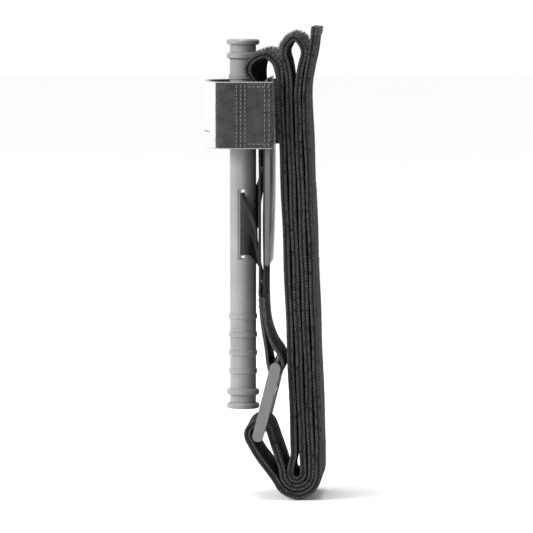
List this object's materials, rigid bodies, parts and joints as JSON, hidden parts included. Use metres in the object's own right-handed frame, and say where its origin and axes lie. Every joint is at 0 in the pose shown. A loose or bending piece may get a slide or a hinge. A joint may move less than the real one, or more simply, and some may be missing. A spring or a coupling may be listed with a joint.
{
  "type": "windlass tourniquet",
  "caption": "Folded windlass limb tourniquet: hook and loop band, ribbed turning rod locked in a clip under a labelled strap, with a routing buckle.",
  "frame": {"origin": "on the flat back of the folded band, level with the middle of the pack", "axes": "X across the band, -Y towards the turning rod, +Z along the rod towards the free end of the band"},
  "size_m": [0.0522, 0.0468, 0.1813],
  "materials": {
    "plate": "smooth moulded sheet",
    "plastic": "satin moulded plastic",
    "rod": "satin moulded reinforced plastic",
    "inner": "flat woven webbing",
    "band": "hook and loop tape with loop pile",
    "tip": "stiff sewn end cap",
    "strap": "narrow woven strap",
    "label": "blank white writing surface",
    "hook": "moulded hook tape",
    "thread": "twisted polyester thread"
  },
  "bodies": {
    "folded_band": {"stabilization_plate": "plate", "windlass_clip": "plastic", "inner_band_near_leg": "inner", "inner_band_far_leg": "inner", "inner_band_upper_run": "inner", "inner_band_lower_run": "inner", "band_front_ply": "band", "band_back_ply": "band", "buckle_strap": "band", "band_first_loop": "band", "band_first_leg": "band", "band_inner_fold": "band", "band_second_leg": "band", "band_second_loop": "band", "band_third_leg": "band", "band_middle_fold": "band", "band_buckle_turn": "band", "band_outer_fold": "band", "band_back_leg": "band", "buckle_stitches": "thread", "plate_stitches": "thread"},
    "strap": {"time_strap": "strap", "time_label": "label", "time_strap_hook_pad": "hook", "time_strap_stitches": "thread"},
    "sling": {"inner_band_centre": "inner"},
    "windlass": {"windlass_rod": "rod"},
    "tail": {"band_tail": "band", "tail_tip": "tip", "tail_stitches": "thread"},
    "buckle_body": {"buckle": "plastic"}
  },
  "joints": [
    {"name": "time_strap_peel", "type": "hinge", "parent": "folded_band", "child": "strap", "pos_m": [0.0234, -0.017, 0.078], "axis": [0, 0, 1], "range_deg": [0, 135]},
    {"name": "windlass_lift", "type": "slide", "parent": "folded_band", "child": "sling", "axis": [0, -1, 0], "range_m": [0, 0.014], "deforming": ["inner_band_near_leg", "inner_band_far_leg"]},
    {"name": "windlass_turn", "type": "hinge", "parent": "sling", "child": "windlass", "pos_m": [0, -0.0296, 0.035], "axis": [0, 1, 0], "range_deg": [-2.5, 2.5]},
    {"name": "tail_peel", "type": "hinge", "parent": "folded_band", "child": "tail", "pos_m": [0, -0.00231, 0.06], "axis": [-1, 0, 0], "range_deg": [0, 60]},
    {"name": "buckle_swing", "type": "hinge", "parent": "folded_band", "child": "buckle_body", "pos_m": [0, -0.016, -0.019], "axis": [1, 0, 0], "range_deg": [-2, 2]}
  ],
  "couplings": [
    {"joint": "windlass_lift", "follows": "time_strap_peel", "m_per_rad": 0.0059418}
  ]
}
